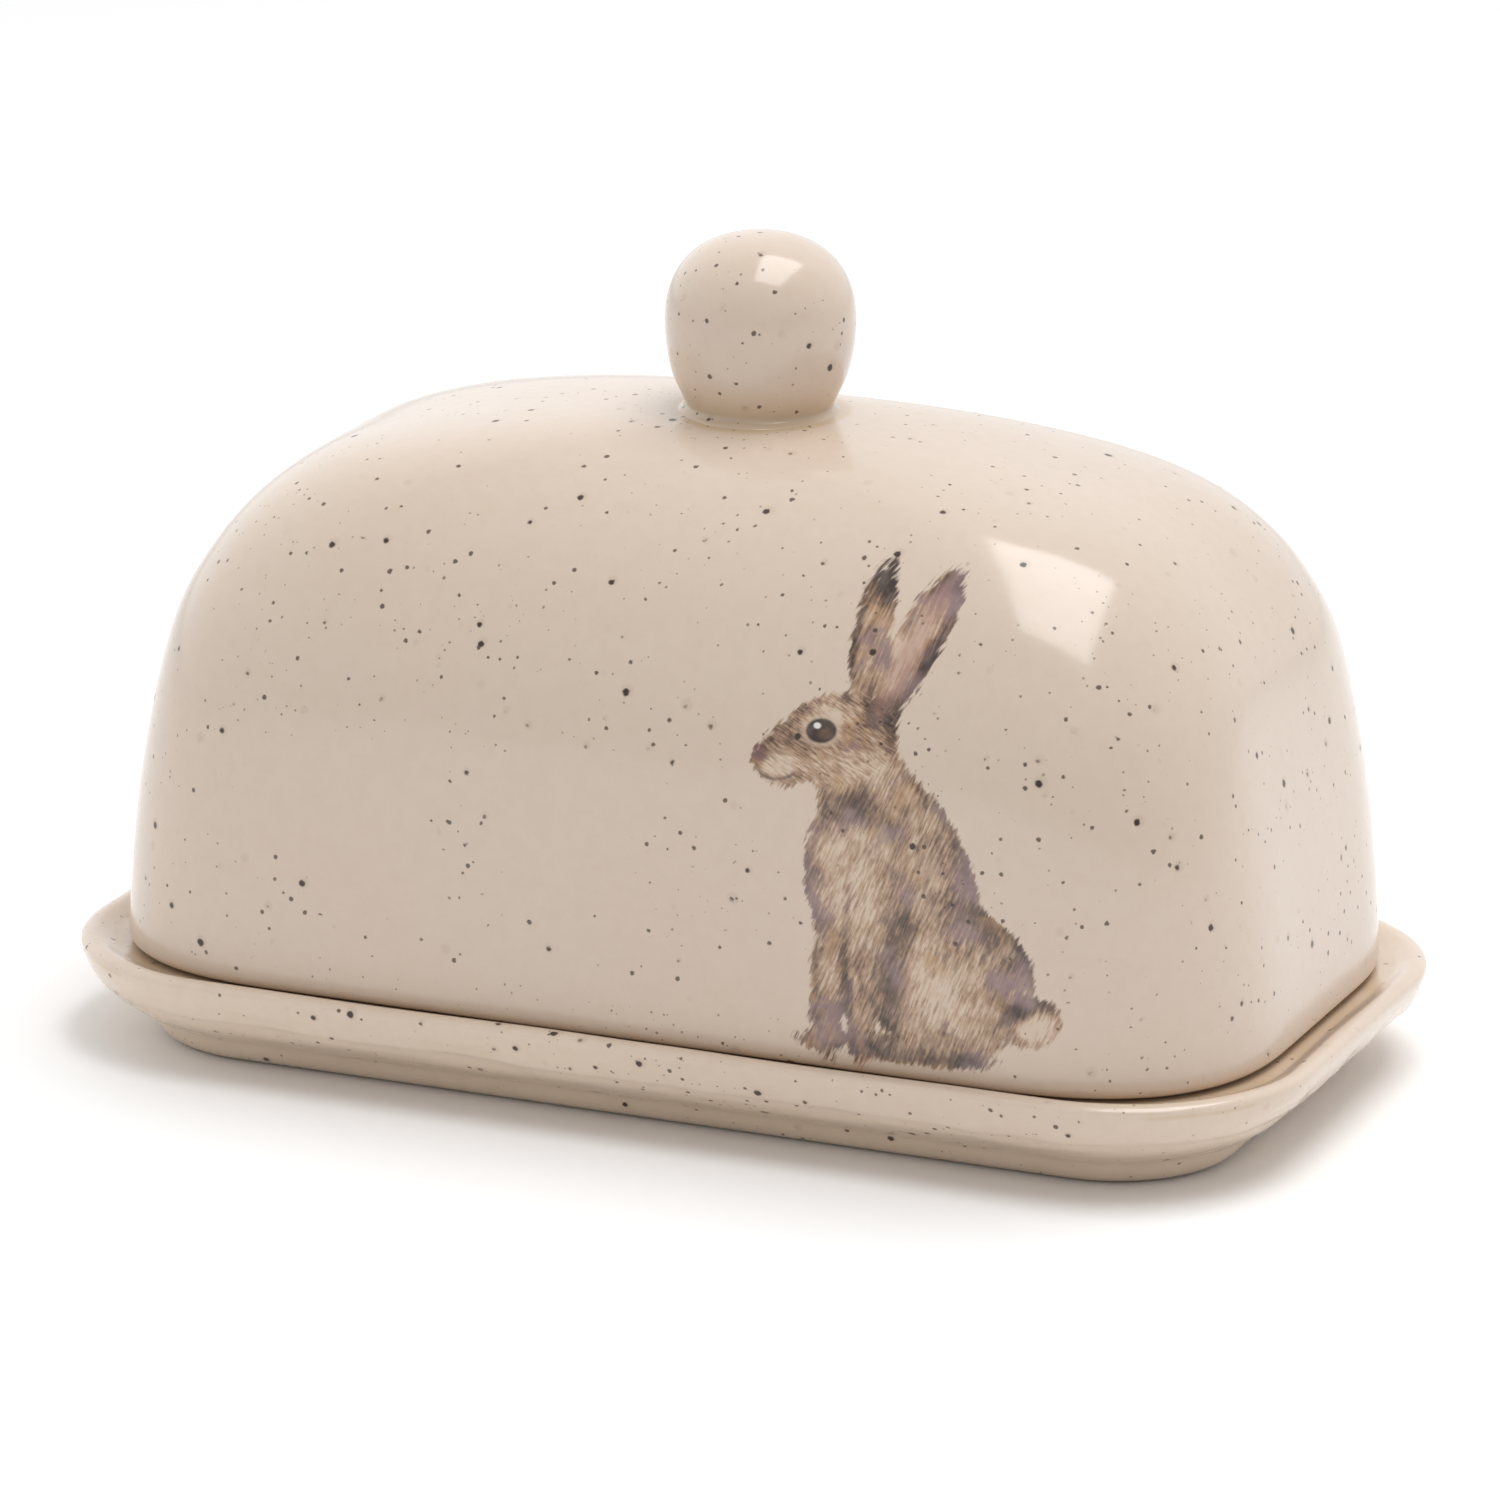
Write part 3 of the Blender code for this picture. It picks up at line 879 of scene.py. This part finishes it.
class BUTTERDISH_OT_knob(bpy.types.Operator):
    """Shapes the ball knob with the fillet of slip round its foot"""

    bl_idname = "butterdish.knob"
    bl_label = "Lid knob"

    def execute(self, context):
        knob = context.scene.dish_knob
        piece = turned("lid_ball_knob", knob_profile(knob), knob.top)
        weigh(piece, "ball", lambda co: rise(co.z, knob.foot + 1 * MM, knob.foot + knob.belly))
        wander(piece, "ball", 0.35 * MM, 0.021)
        piece.data.materials.append(
            speckled_glaze("knob_speckled_glaze", warmer=lambda place: knob_foot_ochre_and_shade(place, knob))
        )
        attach(piece, "lid")
        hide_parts("lid_knob")
        return {"FINISHED"}


def knob_foot_ochre_and_shade(place, knob):
    """Ochre deepening down the neck to the knob's foot, partly pooled glaze and partly painted shade under
    the ball.
    """
    return place.parts()[2].fade(knob.foot / MM + 6.5, knob.foot / MM + 0.6) * 0.40


def turned(name, profile, top):
    """A round form pulled up ring by ring from a disc, closed at its top."""
    clear_selection()
    reach, height = profile[0]
    bpy.ops.mesh.primitive_circle_add(
        vertices=KNOB_TURNS, radius=reach, fill_type="NGON", location=(0, 0, height)
    )
    piece = bpy.context.object
    piece.name = piece.data.name = name
    bpy.ops.object.transform_apply(location=True, rotation=True, scale=True)
    bpy.ops.object.mode_set(mode="EDIT")
    bpy.ops.mesh.select_mode(type="EDGE")
    bpy.ops.mesh.select_all(action="SELECT")
    bpy.ops.mesh.select_mode(type="VERT")
    for (reach, height), (wider, higher) in zip(profile, profile[1:]):
        bpy.ops.mesh.extrude_edges_move(TRANSFORM_OT_translate={"value": (0, 0, higher - height)})
        grown = wider / reach
        bpy.ops.transform.resize(value=(grown, grown, 1), center_override=(0, 0, higher))
    bpy.ops.mesh.extrude_edges_move(TRANSFORM_OT_translate={"value": (0, 0, top - profile[-1][1])})
    bpy.ops.mesh.merge(type="CENTER")
    bpy.ops.object.mode_set(mode="OBJECT")
    close_and_smooth(piece)
    return piece


# ---------------------------------------------------------------- studio


def softbox(name):
    """A rectangular light of soft white over the dish."""
    lamp = bpy.data.lights.new(name, "AREA")
    lamp.shape = "RECTANGLE"
    lamp.size, lamp.size_y = SOFTBOX_SIDES
    lamp.energy = SOFTBOX_POWER
    light = bpy.data.objects.new(name, lamp)
    bpy.context.scene.collection.objects.link(light)
    light.location = SOFTBOX_PLACE
    light.rotation_euler = (Vector(SOFTBOX_PLACE) - Vector(SOFTBOX_AIM)).to_track_quat("Z", "Y").to_euler()


def studio_floor(paper):
    """A wide plain sweep of paper under the dish."""
    clear_selection()
    bpy.ops.mesh.primitive_plane_add(size=FLOOR_SIDE, location=(0, 0, 0))
    floor = bpy.context.object
    floor.name = floor.data.name = "studio_floor"
    bpy.ops.object.transform_apply(location=True, rotation=True, scale=True)
    material, _, shader = start_glaze("studio_paper")
    settings = {"Base Color": paper, "Roughness": 1.0, "Coat Weight": 0.0, "Specular IOR Level": 0.0}
    for socket, value in settings.items():
        shader.inputs[socket].default_value = value
    floor.data.materials.append(material)


def studio_air():
    """White light from all round: least from the front, more from behind and from the left."""
    world = bpy.data.worlds.new("studio_air")
    world.use_nodes = True
    background = world.node_tree.nodes["Background"]
    across, away, _ = Wash(world.node_tree).node("ShaderNodeTexCoord", None, None, output=0).parts()
    from_left = across.fade(-0.2, -0.9, 0.0, 0.34)
    from_right = across.fade(0.1, 0.9, 0.0, -0.14)
    strength = away.fade(-0.6, 0.9, 0.54, 0.98) + from_right + from_left
    world.node_tree.links.new(strength.socket, background.inputs["Strength"])
    background.inputs["Color"].default_value = (1.0, 1.0, 1.0, 1.0)
    bpy.context.scene.world = world


def studio_camera(look):
    """The camera, aimed at the dish from its front."""
    back = Vector(
        (
            math.sin(look.azimuth) * math.cos(look.elevation),
            -math.cos(look.azimuth) * math.cos(look.elevation),
            math.sin(look.elevation),
        )
    )
    right = Vector((0, 0, 1)).cross(back).normalized()
    up = back.cross(right)
    turn = Matrix((right, up, back)).transposed() @ Matrix.Rotation(look.roll, 3, "Z")
    lens = bpy.data.cameras.new("studio_camera")
    lens.lens = look.lens
    lens.sensor_width = 36.0
    lens.clip_end = 50.0
    camera = bpy.data.objects.new("studio_camera", lens)
    bpy.context.scene.collection.objects.link(camera)
    camera.location = Vector((look.aim_x, 0, look.aim_z)) + back * look.distance
    camera.rotation_euler = turn.to_euler()
    bpy.context.scene.camera = camera


class BUTTERDISH_OT_studio(bpy.types.Operator):
    """Sets the plain studio: a pale floor, soft light and the camera"""

    bl_idname = "butterdish.studio"
    bl_label = "Studio"

    def execute(self, context):
        look = context.scene.dish_studio
        studio_floor(look.paper)
        studio_air()
        softbox("overhead_softbox")
        studio_camera(look)
        context.scene.view_settings.view_transform = "Standard"
        return {"FINISHED"}


class BUTTERDISH_PT_panel(bpy.types.Panel):
    """Lists the dish's pieces and its sizes"""

    bl_idname = "BUTTERDISH_PT_panel"
    bl_label = "Butter dish"
    bl_space_type = "VIEW_3D"
    bl_region_type = "UI"
    bl_category = "Butter dish"

    def draw(self, context):
        for operator in OPERATORS:
            self.layout.operator(operator.bl_idname)
        for group, kind in GROUPS.items():
            box = self.layout.box()
            for name in kind.__annotations__:
                box.prop(getattr(context.scene, group), name)


GROUPS = {
    "dish_tray": TraySizes,
    "dish_lid": LidSizes,
    "dish_knob": KnobSizes,
    "dish_glaze": GlazeLook,
    "dish_hare": HareLook,
    "dish_studio": StudioLook,
}
OPERATORS = (BUTTERDISH_OT_tray, BUTTERDISH_OT_dome, BUTTERDISH_OT_knob, BUTTERDISH_OT_studio)


def register():
    for kind in (*GROUPS.values(), *OPERATORS, BUTTERDISH_PT_panel):
        bpy.utils.register_class(kind)
    for group, kind in GROUPS.items():
        setattr(bpy.types.Scene, group, bpy.props.PointerProperty(type=kind))


def unregister():
    for group in GROUPS:
        delattr(bpy.types.Scene, group)
    for kind in reversed((*GROUPS.values(), *OPERATORS, BUTTERDISH_PT_panel)):
        bpy.utils.unregister_class(kind)


def main():
    register()
    bpy.ops.butterdish.studio()
    bpy.ops.butterdish.tray()
    bpy.ops.butterdish.dome()
    bpy.ops.butterdish.knob()


if __name__ == "__main__":
    main()
